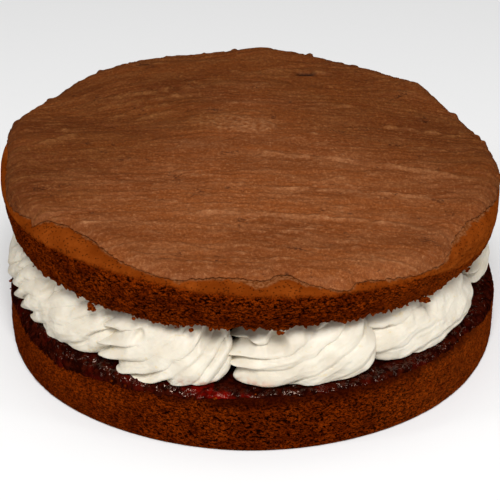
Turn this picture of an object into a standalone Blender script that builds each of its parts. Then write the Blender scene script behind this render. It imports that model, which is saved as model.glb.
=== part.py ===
"""Chocolate sponge sandwich cake: two sponge layers, a jam layer, piped cream swirls and spread icing.

Run with blender --background --python part.py, or from Blender's text editor. Units are metres, +Z is up,
and the origin is the centre of the cake's flat base. Angles round the cake are measured from the front (-Y)
towards the right (+X).
"""

import math

import bmesh
import bpy
from mathutils import Matrix, Vector

# Driving dimensions
CAKE_RADIUS = 0.0995  # of the baked layers at their widest
BASE_HEIGHT = 0.0226  # lower sponge
UNDERSIDE_HEIGHT = 0.0493  # lower face of the upper sponge, at the middle
CRUST_LINE_HEIGHT = 0.0668  # where the porous side of the upper sponge meets its smooth skin
TOP_HEIGHT = 0.0722  # rim of the upper sponge's top face, without icing or swells
JAM_THICKNESS = 0.0024
ICING_THICKNESS = 0.0024
TOUCHING_GAP = 0.0003  # between pieces that rest on each other

# The upper sponge rose unevenly: it is highest at the back left
TOP_SLOPE_X = -0.0430
TOP_SLOPE_Y = 0.0385
UNDERSIDE_SLOPE_X = -0.008
TOP_CROWN = 0.0020
# Swells of the top's rim: degrees round the cake, width in degrees, height
TOP_SWELLS = (
    (88, 20, 0.0038),
    (133, 17, 0.0034),
    (172, 26, 0.0030),
    (215, 24, 0.0018),
    (268, 15, 0.0034),
)
# The skin is worn away further up on the right: degrees round the cake, width in degrees, depth
CRUST_DIPS = (
    (62, 28, 0.0105),
    (5, 26, 0.0016),
)

# Upper sponge outline
LOWER_EDGE_RADIUS = 0.0962
SHOULDER_RADIUS = 0.0905  # where the rounded skin levels out into the top face
SHOULDER_DROP = 0.0070  # height of the rounded shoulder
SHOULDER_SHARES = (0.90, 0.58)  # how far out over the shoulder its rings of facets lie

# Jam and icing outlines
JAM_RADIUS = 0.0958
ICING_RADIUS = 0.0940

# Piped cream: a ring of swirls, each pressed flat against its neighbours
SWIRL_TOP_HEIGHT = 0.0482
SWIRL_BORDERS = (-75, -33.5, -4, 29.5, 68.5, 104.5, 141, 177, 213, 249)  # degrees round the cake
SWIRL_REACH = 0.0975  # distance of a swirl's outermost part from the cake's middle
SWIRL_HALF_DEPTH = 0.0215
SWIRL_PRESS = 0.0020  # how far a swirl would bulge past the border if nothing pressed it back
SWIRL_RIDGES = 3
SWIRL_RIDGE_DEPTH = 0.0011
CREAM_BED_RADIUS = SWIRL_REACH - 2 * SWIRL_HALF_DEPTH - 0.0008

# Facets
CAKE_SEGMENTS = 64
SWIRL_SEGMENTS = 21


def clear_scene():
    for thing in list(bpy.data.objects):
        bpy.data.objects.remove(thing, do_unlink=True)


def food_material(name, colour, roughness):
    material = bpy.data.materials.new(name)
    material.use_nodes = True
    shader = material.node_tree.nodes["Principled BSDF"]
    shader.inputs["Base Color"].default_value = (*colour, 1.0)
    shader.inputs["Roughness"].default_value = roughness
    shader.inputs["Metallic"].default_value = 0.0
    return material


def around(angle, radius, height=0.0):
    """A point at this angle round the cake, in radians."""
    return Vector((radius * math.sin(angle), -radius * math.cos(angle), height))


def loft(name, profile, segments, material):
    """A closed solid from profile(angle), which gives (radius, height) pairs from the middle of the base,
    out round the side, to the middle of the top. The first and last pairs are the two middles."""
    bm = bmesh.new()
    columns = [profile(2 * math.pi * i / segments) for i in range(segments)]
    bottom = bm.verts.new((0, 0, columns[0][0][1]))
    top = bm.verts.new((0, 0, columns[0][-1][1]))
    rings = []
    for station in range(1, len(columns[0]) - 1):
        ring = []
        for i, column in enumerate(columns):
            radius, height = column[station]
            ring.append(bm.verts.new(around(2 * math.pi * i / segments, radius, height)))
        rings.append(ring)
    for i in range(segments):
        j = (i + 1) % segments
        bm.faces.new((bottom, rings[0][j], rings[0][i]))
        bm.faces.new((top, rings[-1][i], rings[-1][j]))
        for below, above in zip(rings, rings[1:]):
            bm.faces.new((below[i], below[j], above[j], above[i]))
    bmesh.ops.recalc_face_normals(bm, faces=bm.faces)
    mesh = bpy.data.meshes.new(name)
    bm.to_mesh(mesh)
    bm.free()
    mesh.shade_smooth()
    mesh.set_sharp_from_angle(angle=math.radians(50))
    mesh.materials.append(material)
    solid = bpy.data.objects.new(name, mesh)
    bpy.context.scene.collection.objects.link(solid)
    return solid


def bump(angle, middle, width):
    """A smooth bump of height 1 round the cake at the middle angle, in degrees."""
    away = (math.degrees(angle) - middle + 180) % 360 - 180
    return math.exp(-((away / width) ** 2))


def outline_waver(angle):
    """How far a baked layer's outline strays from a circle."""
    return 0.0003 * math.sin(2 * angle + 0.6) + 0.0002 * math.sin(4 * angle + 2.0)


# The upper sponge's surfaces


def underside(angle, radius):
    return UNDERSIDE_HEIGHT + UNDERSIDE_SLOPE_X * radius * math.sin(angle)


def swells(angle, places):
    return sum(height * bump(angle, middle, width) for middle, width, height in places)


def crust_line(angle):
    return CRUST_LINE_HEIGHT - swells(angle, CRUST_DIPS)


def shoulder_radius(share):
    return SHOULDER_RADIUS + (CAKE_RADIUS - SHOULDER_RADIUS) * share


def top_level(angle, radius):
    """Height of the crowned and tilted top face, which swells towards its rim."""
    x, y, _ = around(angle, radius)
    share = radius / SHOULDER_RADIUS
    tilted = TOP_HEIGHT + TOP_SLOPE_X * x + TOP_SLOPE_Y * y
    return tilted + TOP_CROWN * (1 - share**2) + swells(angle, TOP_SWELLS) * share**3


def upper_surface(angle, radius):
    """Height of the upper sponge's skin: the top face, then the rounded shoulder."""
    flat_radius = min(radius, SHOULDER_RADIUS)
    share = min(1.0, (radius - flat_radius) / (CAKE_RADIUS - SHOULDER_RADIUS))
    return top_level(angle, flat_radius) - SHOULDER_DROP * (1 - math.sqrt(1 - share * share))


def lower_sponge_profile(angle):
    radius = CAKE_RADIUS + outline_waver(angle)
    height = BASE_HEIGHT
    return [
        (0.0, 0.0),
        (radius - 0.0010, 0.0),
        (radius - 0.0003, 0.0010),
        (radius, 0.0040),
        (radius, height - 0.0062),
        (radius - 0.0010, height - 0.0024),
        (radius - 0.0034, height),
        (0.0, height),
    ]


def upper_sponge_profile(angle):
    low = underside(angle, LOWER_EDGE_RADIUS)
    shoulder_foot = upper_surface(angle, CAKE_RADIUS)
    line = min(crust_line(angle), shoulder_foot - 0.0008)
    waver = 0.5 * outline_waver(angle + 1.0)
    side = [
        (LOWER_EDGE_RADIUS - 0.0015 + waver, low),
        (LOWER_EDGE_RADIUS + waver, low + 0.0012),
        ((LOWER_EDGE_RADIUS + CAKE_RADIUS) / 2 + 0.0008 + waver, (low + line) / 2),
        (CAKE_RADIUS, line),
        (CAKE_RADIUS, shoulder_foot),
    ]
    radii = [shoulder_radius(share) for share in SHOULDER_SHARES] + [SHOULDER_RADIUS, 0.065, 0.033, 0.0]
    skin = [(radius, upper_surface(angle, radius)) for radius in radii]
    return [(0.0, UNDERSIDE_HEIGHT)] + side + skin


# Jam


def jam_edge(angle):
    """The jam is spread almost to the rim, with blobs that come further out."""
    blobs = 0.0012 * bump(angle, -25, 9) + 0.0010 * bump(angle, 5, 14) + 0.0012 * bump(angle, -60, 12)
    ripple = 0.0006 * math.sin(7 * angle + 1.0) + 0.0003 * math.sin(15 * angle)
    return JAM_RADIUS - 0.0010 + blobs + ripple


def jam_profile(angle):
    low = BASE_HEIGHT + TOUCHING_GAP
    high = low + JAM_THICKNESS
    edge = jam_edge(angle)
    return [
        (0.0, low),
        (edge - 0.0008, low),
        (edge, low + 0.35 * JAM_THICKNESS),
        (edge - 0.0006, low + 0.75 * JAM_THICKNESS),
        (edge - 0.0024, high),
        (0.0, high),
    ]


# Icing


def icing_edge(angle):
    """The icing stops short of the rim in places and laps over the shoulder in others."""
    laps = 0.0034 * bump(angle, 17, 7) + 0.0030 * bump(angle, 33, 9) + 0.0030 * bump(angle, -62, 9)
    gaps = 0.0034 * bump(angle, -45, 8) + 0.0024 * bump(angle, 2, 9) + 0.0034 * bump(angle, 56, 12)
    ripple = 0.0005 * math.sin(9 * angle + 0.4) + 0.0004 * math.sin(21 * angle)
    return ICING_RADIUS + laps - gaps + ripple


def icing_profile(angle):
    edge = icing_edge(angle)
    clearance = 2 * TOUCHING_GAP

    def skin(radius, lift):
        return (radius, upper_surface(angle, radius) + clearance + lift)

    bend = min(shoulder_radius(SHOULDER_SHARES[-1]), edge - 0.0016)
    under = [skin(radius, 0.0) for radius in (0.0, 0.033, 0.065, min(SHOULDER_RADIUS, edge - 0.0026), bend)]
    rim = [
        skin(edge - 0.0006, 0.0),
        skin(edge, 0.30 * ICING_THICKNESS),
        skin(edge - 0.0005, 0.70 * ICING_THICKNESS),
        skin(edge - 0.0024, ICING_THICKNESS),
    ]
    over = [skin(radius, ICING_THICKNESS) for radius in (0.086, 0.065, 0.033, 0.0)]
    return under + rim + over


# Cream


def cream_floor():
    return BASE_HEIGHT + JAM_THICKNESS + 2 * TOUCHING_GAP


def swirl_profile(turn):
    """Outline of a swirl of radius 1. Its ridges climb like a screw thread from the start of the piping."""
    low = cream_floor()
    high = SWIRL_TOP_HEIGHT
    ridge_share = SWIRL_RIDGE_DEPTH / SWIRL_HALF_DEPTH
    side_stations = 9
    top_stations = 2

    def profile(angle):
        column = [(0.0, low), (0.92, low)]
        for i in range(1, side_stations + 1):
            share = i / side_stations
            bulge = math.sin(math.pi * (0.36 + 0.50 * share))
            ridge = math.cos(2 * math.pi * SWIRL_RIDGES * share - angle + turn)
            reach = 0.76 + 0.24 * bulge - ridge_share * (1 - ridge)
            column.append((reach, low + (high - low) * (0.05 + 0.90 * share)))
        rim = column[-1][0]
        for i in range(1, top_stations + 1):
            share = i / (top_stations + 1)
            groove = 0.5 - 0.5 * math.cos(3 * math.pi * share - angle + turn)
            column.append((rim * (1 - share), high - SWIRL_RIDGE_DEPTH * groove))
        return column + [(0.0, high - SWIRL_RIDGE_DEPTH)]

    return profile


def press_flat(swirl, border, outward):
    """Cuts a swirl along the upright plane through the cake's middle where its neighbour presses on it.
    outward is +1 for the swirl's right-hand border and -1 for its left-hand one."""
    normal = around(border + math.pi / 2, outward)
    bm = bmesh.new()
    bm.from_mesh(swirl.data)
    everything = bm.verts[:] + bm.edges[:] + bm.faces[:]
    plane_point = -normal * TOUCHING_GAP
    cut = bmesh.ops.bisect_plane(bm, geom=everything, plane_co=plane_point, plane_no=normal, clear_outer=True)
    open_edges = [item for item in cut["geom_cut"] if isinstance(item, bmesh.types.BMEdge)]
    if open_edges:
        bmesh.ops.holes_fill(bm, edges=open_edges, sides=0)
    bmesh.ops.triangulate(bm, faces=[face for face in bm.faces if len(face.verts) > 4])
    bmesh.ops.recalc_face_normals(bm, faces=bm.faces)
    bm.to_mesh(swirl.data)
    bm.free()


def pipe_swirls(material):
    distance = SWIRL_REACH - SWIRL_HALF_DEPTH
    for i, first in enumerate(SWIRL_BORDERS):
        last = SWIRL_BORDERS[(i + 1) % len(SWIRL_BORDERS)] + (360 if i + 1 == len(SWIRL_BORDERS) else 0)
        start, end = math.radians(first), math.radians(last)
        middle = (start + end) / 2
        half_width = distance * math.sin((end - start) / 2) + SWIRL_PRESS
        swirl = loft(f"cream_swirl_{i + 1:02d}", swirl_profile(2.4 * i), SWIRL_SEGMENTS, material)
        place = Matrix.Translation(around(middle, distance)) @ Matrix.Rotation(middle, 4, "Z")
        swirl.data.transform(place @ Matrix.Diagonal((half_width, SWIRL_HALF_DEPTH, 1.0, 1.0)))
        press_flat(swirl, start, -1)
        press_flat(swirl, end, 1)


def cream_bed_profile(angle):
    low = cream_floor()
    high = SWIRL_TOP_HEIGHT
    height = high - low
    return [
        (0.0, low),
        (CREAM_BED_RADIUS - 0.0010, low),
        (CREAM_BED_RADIUS, low + 0.25 * height),
        (CREAM_BED_RADIUS - 0.0004, low + 0.85 * height),
        (CREAM_BED_RADIUS - 0.0030, high),
        (0.0, high),
    ]


def build_cake():
    clear_scene()
    sponge = food_material("sponge", (0.085, 0.022, 0.006), 0.9)
    jam = food_material("jam", (0.045, 0.003, 0.002), 0.12)
    cream = food_material("cream", (0.83, 0.76, 0.63), 0.5)
    icing = food_material("icing", (0.165, 0.058, 0.020), 0.5)
    loft("bottom_sponge", lower_sponge_profile, CAKE_SEGMENTS, sponge)
    loft("jam_layer", jam_profile, CAKE_SEGMENTS, jam)
    loft("cream_middle", cream_bed_profile, CAKE_SEGMENTS, cream)
    pipe_swirls(cream)
    loft("top_sponge", upper_sponge_profile, CAKE_SEGMENTS, sponge)
    loft("chocolate_icing", icing_profile, CAKE_SEGMENTS, icing)


build_cake()
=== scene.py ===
"""Chocolate sponge sandwich cake: crumb, crust, jam, piped cream and spread icing, modelled round the
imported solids. Metres, +Z up. Angles round the cake start at the front (-Y) and grow towards +X."""

import math

import bmesh
import bpy
import numpy as np
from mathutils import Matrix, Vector


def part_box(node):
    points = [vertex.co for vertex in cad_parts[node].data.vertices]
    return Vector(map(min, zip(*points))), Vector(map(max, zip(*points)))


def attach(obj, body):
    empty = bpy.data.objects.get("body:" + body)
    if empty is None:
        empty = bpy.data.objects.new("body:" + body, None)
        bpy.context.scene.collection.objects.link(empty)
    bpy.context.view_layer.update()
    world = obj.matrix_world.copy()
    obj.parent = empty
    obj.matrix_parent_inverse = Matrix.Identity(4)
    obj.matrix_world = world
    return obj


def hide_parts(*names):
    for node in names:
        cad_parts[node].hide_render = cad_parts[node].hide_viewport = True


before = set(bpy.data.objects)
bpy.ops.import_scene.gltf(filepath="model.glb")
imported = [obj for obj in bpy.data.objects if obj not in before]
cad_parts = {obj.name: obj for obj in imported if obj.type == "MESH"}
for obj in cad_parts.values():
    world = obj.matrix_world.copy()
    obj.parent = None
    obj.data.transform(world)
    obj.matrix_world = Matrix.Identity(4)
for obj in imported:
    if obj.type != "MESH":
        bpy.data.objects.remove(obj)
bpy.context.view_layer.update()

MM = 0.001

# The layers' places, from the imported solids
BASE_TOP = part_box("bottom_sponge")[1][2]
CAKE_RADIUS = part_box("bottom_sponge")[1][0]
JAM_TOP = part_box("jam_layer")[1][2]
CREAM_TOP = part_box("cream_middle")[1][2]

# The upper sponge's skin, as it was baked: a tilted top that swells at the rim, and a rounded shoulder
CRUST_RADIUS = CAKE_RADIUS + 0.3 * MM
SHOULDER_RADIUS = 90.5 * MM
SHOULDER_DROP = 7.0 * MM
TOP_HEIGHT = 72.2 * MM
TOP_SLOPE = (-0.0430, 0.0385)
TOP_CROWN = 2.0 * MM
# places where the top's rim stands higher: degrees round the cake, width in degrees, height in mm
TOP_SWELLS = ((88, 20, 3.8), (133, 17, 3.4), (172, 26, 3.0), (215, 24, 1.8), (268, 15, 3.4))
SHOULDER_WIDTH = CRUST_RADIUS - SHOULDER_RADIUS
SHOULDER_ARC = 0.25 * math.pi * (SHOULDER_WIDTH + SHOULDER_DROP)
BASE_SHIFT = 0.7 * MM  # the lower layer sits this far to the right


# ---------- noise and small maths

FAR_CORNER = 1000.0  # keeps every place on the positive side of the noise's grid


def ramp(low, high, value):
    """0 at low, 1 at high, and smooth between them."""
    share = np.clip((value - low) / (high - low), 0.0, 1.0)
    return share * share * (3 - 2 * share)


def degrees_apart(angle, middle):
    """Signed distance in degrees from the middle angle to an angle in radians."""
    return (np.degrees(angle) - middle + 180.0) % 360.0 - 180.0


def bump(angle, middle, width):
    return np.exp(-((degrees_apart(angle, middle) / width) ** 2))


def lattice_hash(cell, seed):
    """A large random number for each cell of a grid. cell is (..., 3)."""
    with np.errstate(over="ignore"):
        h = cell[..., 0].astype(np.uint32) * np.uint32(374761393)
        h += cell[..., 1].astype(np.uint32) * np.uint32(668265263)
        h += cell[..., 2].astype(np.uint32) * np.uint32(2246822519)
        h += np.uint32(seed * 3266489917 % 2**32)
        h ^= h >> np.uint32(15)
        h *= np.uint32(2654435761)
        h ^= h >> np.uint32(13)
        h *= np.uint32(1274126177)
        h ^= h >> np.uint32(16)
    return h


def three_from(h, whole):
    """Three numbers from each hash, from 0 to 1023 / whole."""
    return [((h >> np.uint32(shift)) & np.uint32(1023)) / whole for shift in (0, 10, 20)]


def rolling(points, size, seed):
    """Smooth noise, about -1 to 1, whose bumps are about this many mm wide. points is (..., 3)."""
    p = np.asarray(points, dtype=np.float64) / (size * MM) + FAR_CORNER
    cell = np.floor(p).astype(np.int64)
    f = p - cell
    u = f * f * f * (f * (f * 6 - 15) + 10)
    total = np.zeros(p.shape[:-1])
    for corner in np.ndindex(2, 2, 2):
        slopes = three_from(lattice_hash(cell + corner, seed), 511.5)
        gx, gy, gz = (slope - 1.0 for slope in slopes)
        dx, dy, dz = np.moveaxis(f - corner, -1, 0)
        wx, wy, wz = np.moveaxis(np.where(corner, u, 1 - u), -1, 0)
        total += (gx * dx + gy * dy + gz * dz) * wx * wy * wz
    return total * 1.7


def layered(points, size, seed, layers=2):
    """Rolling noise with finer and weaker layers of it on top."""
    total, strength, whole = 0.0, 1.0, 0.0
    for layer in range(layers):
        total = total + strength * rolling(points, size / 2**layer, seed + 31 * layer)
        whole += strength
        strength *= 0.5
    return total / whole


def cells(points, size, seed):
    """Distance to the nearest of scattered points about this many mm apart, in those distances."""
    p = np.asarray(points, dtype=np.float64) / (size * MM) + FAR_CORNER
    cell = np.floor(p).astype(np.int64)
    nearest = np.full(p.shape[:-1], 9.0)
    for step in np.ndindex(3, 3, 3):
        near = cell + step - 1
        spot = near + np.stack(three_from(lattice_hash(near, seed), 1023.0), axis=-1)
        dx, dy, dz = np.moveaxis(p - spot, -1, 0)
        nearest = np.minimum(nearest, dx**2 + dy**2 + dz**2)
    return np.sqrt(nearest)


def through(angle, stops):
    """A smooth closed curve round the cake through (degrees, value) stops."""
    at, value = np.array(stops, dtype=float).T
    at = np.concatenate([at - 360, at, at + 360])
    value = np.tile(value, 3)
    degrees = (np.degrees(angle) - stops[0][0]) % 360 + stops[0][0]
    i = np.clip(np.searchsorted(at, degrees, side="right") - 1, 1, len(at) - 3)
    t = (degrees - at[i]) / (at[i + 1] - at[i])
    slope_0 = (value[i + 1] - value[i - 1]) / (at[i + 1] - at[i - 1]) * (at[i + 1] - at[i])
    slope_1 = (value[i + 2] - value[i]) / (at[i + 2] - at[i]) * (at[i + 1] - at[i])
    return (
        value[i] * (2 * t**3 - 3 * t**2 + 1)
        + slope_0 * (t**3 - 2 * t**2 + t)
        + value[i + 1] * (3 * t**2 - 2 * t**3)
        + slope_1 * (t**3 - t**2)
    )


# ---------- modelling helpers


def clear_selection():
    bpy.ops.object.select_all(action="DESELECT")


def name_new(name):
    """Names the object that was added last, and its mesh."""
    piece = bpy.context.object
    piece.name = piece.data.name = name
    return piece


def select_edges(piece, wanted):
    """Goes into edit mode with the wanted edges selected."""
    bpy.ops.object.mode_set(mode="EDIT")
    bpy.context.tool_settings.mesh_select_mode = (False, True, False)
    bpy.ops.mesh.select_all(action="DESELECT")
    shell = bmesh.from_edit_mesh(piece.data)
    for edge in shell.edges:
        edge.select = wanted(edge)
    bmesh.update_edit_mesh(piece.data)


def read_points(piece):
    at = np.empty(len(piece.data.vertices) * 3)
    piece.data.vertices.foreach_get("co", at)
    return at.reshape(-1, 3)


def move_points(piece, at):
    piece.data.vertices.foreach_set("co", at.ravel())
    piece.data.update()


def lay_rings(name, points, low_middle, high_middle):
    """A closed piece with its points at the (rings, segments, 3) array and its two cap centres. The second
    result says which ring, segment and cap centre each point is, as paint wants it."""
    rings, segments = points.shape[:2]
    clear_selection()
    bpy.ops.mesh.primitive_cylinder_add(vertices=segments, radius=1, depth=2, end_fill_type="TRIFAN")
    piece = name_new(name)
    select_edges(piece, lambda edge: abs(edge.verts[0].co.z - edge.verts[1].co.z) > 1)
    bpy.ops.mesh.subdivide(number_cuts=rings - 2)
    bpy.ops.object.mode_set(mode="OBJECT")
    at = read_points(piece)
    ring = np.rint((at[:, 2] + 1) / 2 * (rings - 1)).astype(int)
    segment = np.rint(np.arctan2(at[:, 0], -at[:, 1]) / (2 * math.pi) * segments).astype(int) % segments
    placed = points[ring, segment]
    middle = np.hypot(at[:, 0], at[:, 1]) < 0.5
    placed[middle & (at[:, 2] < 0)] = low_middle
    placed[middle & (at[:, 2] > 0)] = high_middle
    move_points(piece, placed)
    return piece, (ring, segment, middle)


def write_attribute(piece, name, values):
    """One number or one vector for each point, under a name that the material reads."""
    kind, field = ("FLOAT", "value") if values.ndim == 1 else ("FLOAT_VECTOR", "vector")
    piece.data.attributes.new(name, kind, "POINT").data.foreach_set(field, values.ravel())


def paint(piece, laid, **patterns):
    """Writes (rings, segments) or (rings, segments, 3) arrays on a piece from lay_rings."""
    ring, segment, middle = laid
    for name, values in patterns.items():
        spread = values[ring, segment]
        spread[middle] = 0.0
        write_attribute(piece, name, spread)


def xyz(x, y, z):
    return np.stack(np.broadcast_arrays(x, y, z), axis=-1)


def grid_normals(points):
    """Outward normals of a (rings, segments, 3) array that closes round on itself."""
    along = np.roll(points, -1, axis=1) - np.roll(points, 1, axis=1)
    up = np.gradient(points, axis=0)
    normals = np.cross(along, up)
    return normals / np.maximum(np.linalg.norm(normals, axis=-1, keepdims=True), 1e-12)


def around(angle, radius, height):
    return xyz(radius * np.sin(angle), -radius * np.cos(angle), height)


def angles_round(segments):
    return np.arange(segments) * 2 * math.pi / segments


def follow_profile(stations, rings, angle, rounding):
    """(radius, points, normals) up a side. stations is a list of (share of the way up, radius, height),
    each radius and height a number or an array over angle. rounding is how many rings the corners are
    softened over."""
    share = np.linspace(0, 1, rings)
    at, radii, heights = zip(*stations)
    at = np.array(at)
    radii = np.array([np.broadcast_to(value, angle.shape) for value in radii])
    heights = np.array([np.broadcast_to(value, angle.shape) for value in heights])
    i = np.clip(np.searchsorted(at, share, side="right") - 1, 0, len(at) - 2)
    t = ((share - at[i]) / (at[i + 1] - at[i]))[:, None]
    radius = radii[i] * (1 - t) + radii[i + 1] * t
    height = heights[i] * (1 - t) + heights[i + 1] * t
    for _ in range(rounding):
        for values in (radius, height):
            values[1:-1] = 0.25 * values[:-2] + 0.5 * values[1:-1] + 0.25 * values[2:]
    points = around(angle, radius, height)
    return radius, points, grid_normals(points)


def finish_piece(piece, material, slot, *nodes):
    piece.data.materials.clear()
    piece.data.materials.append(material)
    clear_selection()
    piece.select_set(True)
    bpy.context.view_layer.objects.active = piece
    bpy.ops.object.shade_smooth()
    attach(piece, "root")
    if nodes:
        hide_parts(*nodes)


# ---------- the upper sponge's skin

# height of the line where the baked skin ends and the cut crumb starts, in mm, round the cake
CRUST_LINE_STOPS = (
    (-75, 67.2), (-30, 68.6), (-12, 66.9), (0, 65.9), (34, 62.6), (41, 61.2), (49, 58.2), (60, 55.9),
    (75, 56.5), (92, 60.0), (130, 66.0), (220, 68.6),
)
# height of the upper sponge's underside at its edge, in mm
UNDERSIDE_STOPS = (
    (-77, 48.2), (-60, 49.6), (-22, 48.7), (0, 50.4), (5, 49.2), (11, 49.8), (36, 48.6), (68, 46.8),
    (90, 47.0), (180, 49.0), (240, 49.0),
)
UNDERSIDE_MIDDLE = 49.8 * MM
# the share of the upper sponge's rings at which its skin starts, the share that the skin takes, and how
# far it runs in under the icing
SKIN_FROM, SKIN_SPAN = 0.54, 0.46
SKIN_OVERLAP = 8 * MM


def crust_line(angle):
    return through(angle, CRUST_LINE_STOPS) * MM


def underside(angle):
    return through(angle, UNDERSIDE_STOPS) * MM


def top_level(angle, radius):
    x, y = radius * np.sin(angle), -radius * np.cos(angle)
    share = radius / SHOULDER_RADIUS
    swell = sum(height * MM * bump(angle, middle, width) for middle, width, height in TOP_SWELLS)
    return TOP_HEIGHT + TOP_SLOPE[0] * x + TOP_SLOPE[1] * y + TOP_CROWN * (1 - share**2) + swell * share**3


def skin(angle, travel):
    """(radius, height, radial part of the normal, upright part of it) on the upper sponge's skin, at
    this distance travelled from the middle of its top, out over the shoulder and down the wall."""
    flat = np.minimum(travel, SHOULDER_RADIUS)
    turn = np.clip((travel - flat) / SHOULDER_ARC, 0, 1) * math.pi / 2
    below = np.maximum(travel - flat - SHOULDER_ARC, 0)
    radius = flat + SHOULDER_WIDTH * np.sin(turn)
    height = top_level(angle, flat) - SHOULDER_DROP * (1 - np.cos(turn)) - below
    out = np.sin(turn) / SHOULDER_WIDTH
    up = np.cos(turn) / SHOULDER_DROP
    length = np.hypot(out, up)
    return radius, height, out / length, up / length


def shoulder_foot(angle):
    """Height at which the rounded shoulder turns into the upright wall."""
    return top_level(angle, SHOULDER_RADIUS) - SHOULDER_DROP


def travel_down_skin(angle, share):
    """Distance travelled on the skin at a share of the way up the rings of the upper sponge. It starts at
    the crust line and runs up the wall and over the shoulder to just inside it."""
    end = SHOULDER_RADIUS + SHOULDER_ARC + np.maximum(shoulder_foot(angle) - crust_line(angle), 0)
    return end - (share - SKIN_FROM) / SKIN_SPAN * (end - SHOULDER_RADIUS + SKIN_OVERLAP)


# ---------- sponge layers

SPONGE_SEGMENTS = 1010
BOTTOM_RINGS = 66
TOP_RINGS = 92
BOTTOM_PORE_DEPTH = 0.95 * MM
TOP_PORE_DEPTH = 1.15 * MM


def torn_crumb(points, seed):
    """How deep the open crumb lies at each point, 0 to 1. Its pores are stretched sideways."""
    stretched = points * (1.0, 1.0, 1.7)
    wide = ramp(0.20, 0.70, layered(stretched, 2.4, seed))
    fine = ramp(0.05, 0.55, rolling(stretched, 1.15, seed + 5))
    return np.clip(0.45 * wide + 0.80 * fine, 0, 1)


def worn_corner(angle):
    """How far the lower sponge is worn back at the left of its front."""
    return 0.9 * MM * bump(angle, -62, 26)


def bake_bottom_sponge():
    angle = angles_round(SPONGE_SEGMENTS)
    waver = 0.30 * MM * np.sin(3 * angle + 0.7) + 0.20 * MM * np.sin(7 * angle + 2.1)
    wall = CAKE_RADIUS + 0.7 * MM + waver - worn_corner(angle)
    foot = wall + 1.3 * MM * bump(angle, -50, 26)
    top = BASE_TOP
    stations = [
        (0.00, foot - 8.0 * MM, 0.0),
        (0.09, foot - 0.7 * MM, 0.0),
        (0.13, foot - 0.1 * MM, 0.8 * MM),
        (0.20, foot, 3.2 * MM),
        (0.60, wall, top - 5.6 * MM),
        (0.68, wall - 0.4 * MM, top - 3.0 * MM),
        (0.74, wall - 1.6 * MM, top - 1.0 * MM),
        (0.80, wall - 4.6 * MM, top - 0.2 * MM),
        (1.00, wall - 14.0 * MM, top),
    ]
    _, points, normals = follow_profile(stations, BOTTOM_RINGS, angle, rounding=3)
    # the wall's skin is torn open at the front and the back, and mostly whole at the sides
    open_side = 0.30 + 0.70 * np.clip(bump(angle, 2, 38) + bump(angle, 42, 24) + bump(angle, 180, 70), 0, 1)
    z = points[..., 2]
    on_wall = ramp(0.3 * MM, 1.6 * MM, z) * ramp(top, top - 2.5 * MM, z)
    pores = torn_crumb(points, 11) * open_side * on_wall
    lumps = 0.40 * MM * layered(points, 14, 3, 3) + 0.30 * MM * layered(points, 2.4, 9)
    off_the_foot = ramp(0.0, 2.0 * MM, z)[..., None]
    points = points + normals * (lumps - BOTTOM_PORE_DEPTH * pores)[..., None] * off_the_foot
    points[..., 2] = np.maximum(points[..., 2], 0.0)
    points[..., 0] += BASE_SHIFT
    piece, laid = lay_rings("bottom_sponge_crumb", points, (0, 0, 0), (0, 0, top - 0.2 * MM))
    # the jam has soaked into the top of the wall, least at the right
    soak = ramp(5 * MM, 1.0 * MM, top - points[..., 2] + 1.8 * MM * layered(points, 7, 21))
    paint(piece, laid, pore=pores, soak=soak * (1 - 0.6 * bump(angle, 84, 26)))
    return piece


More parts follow.
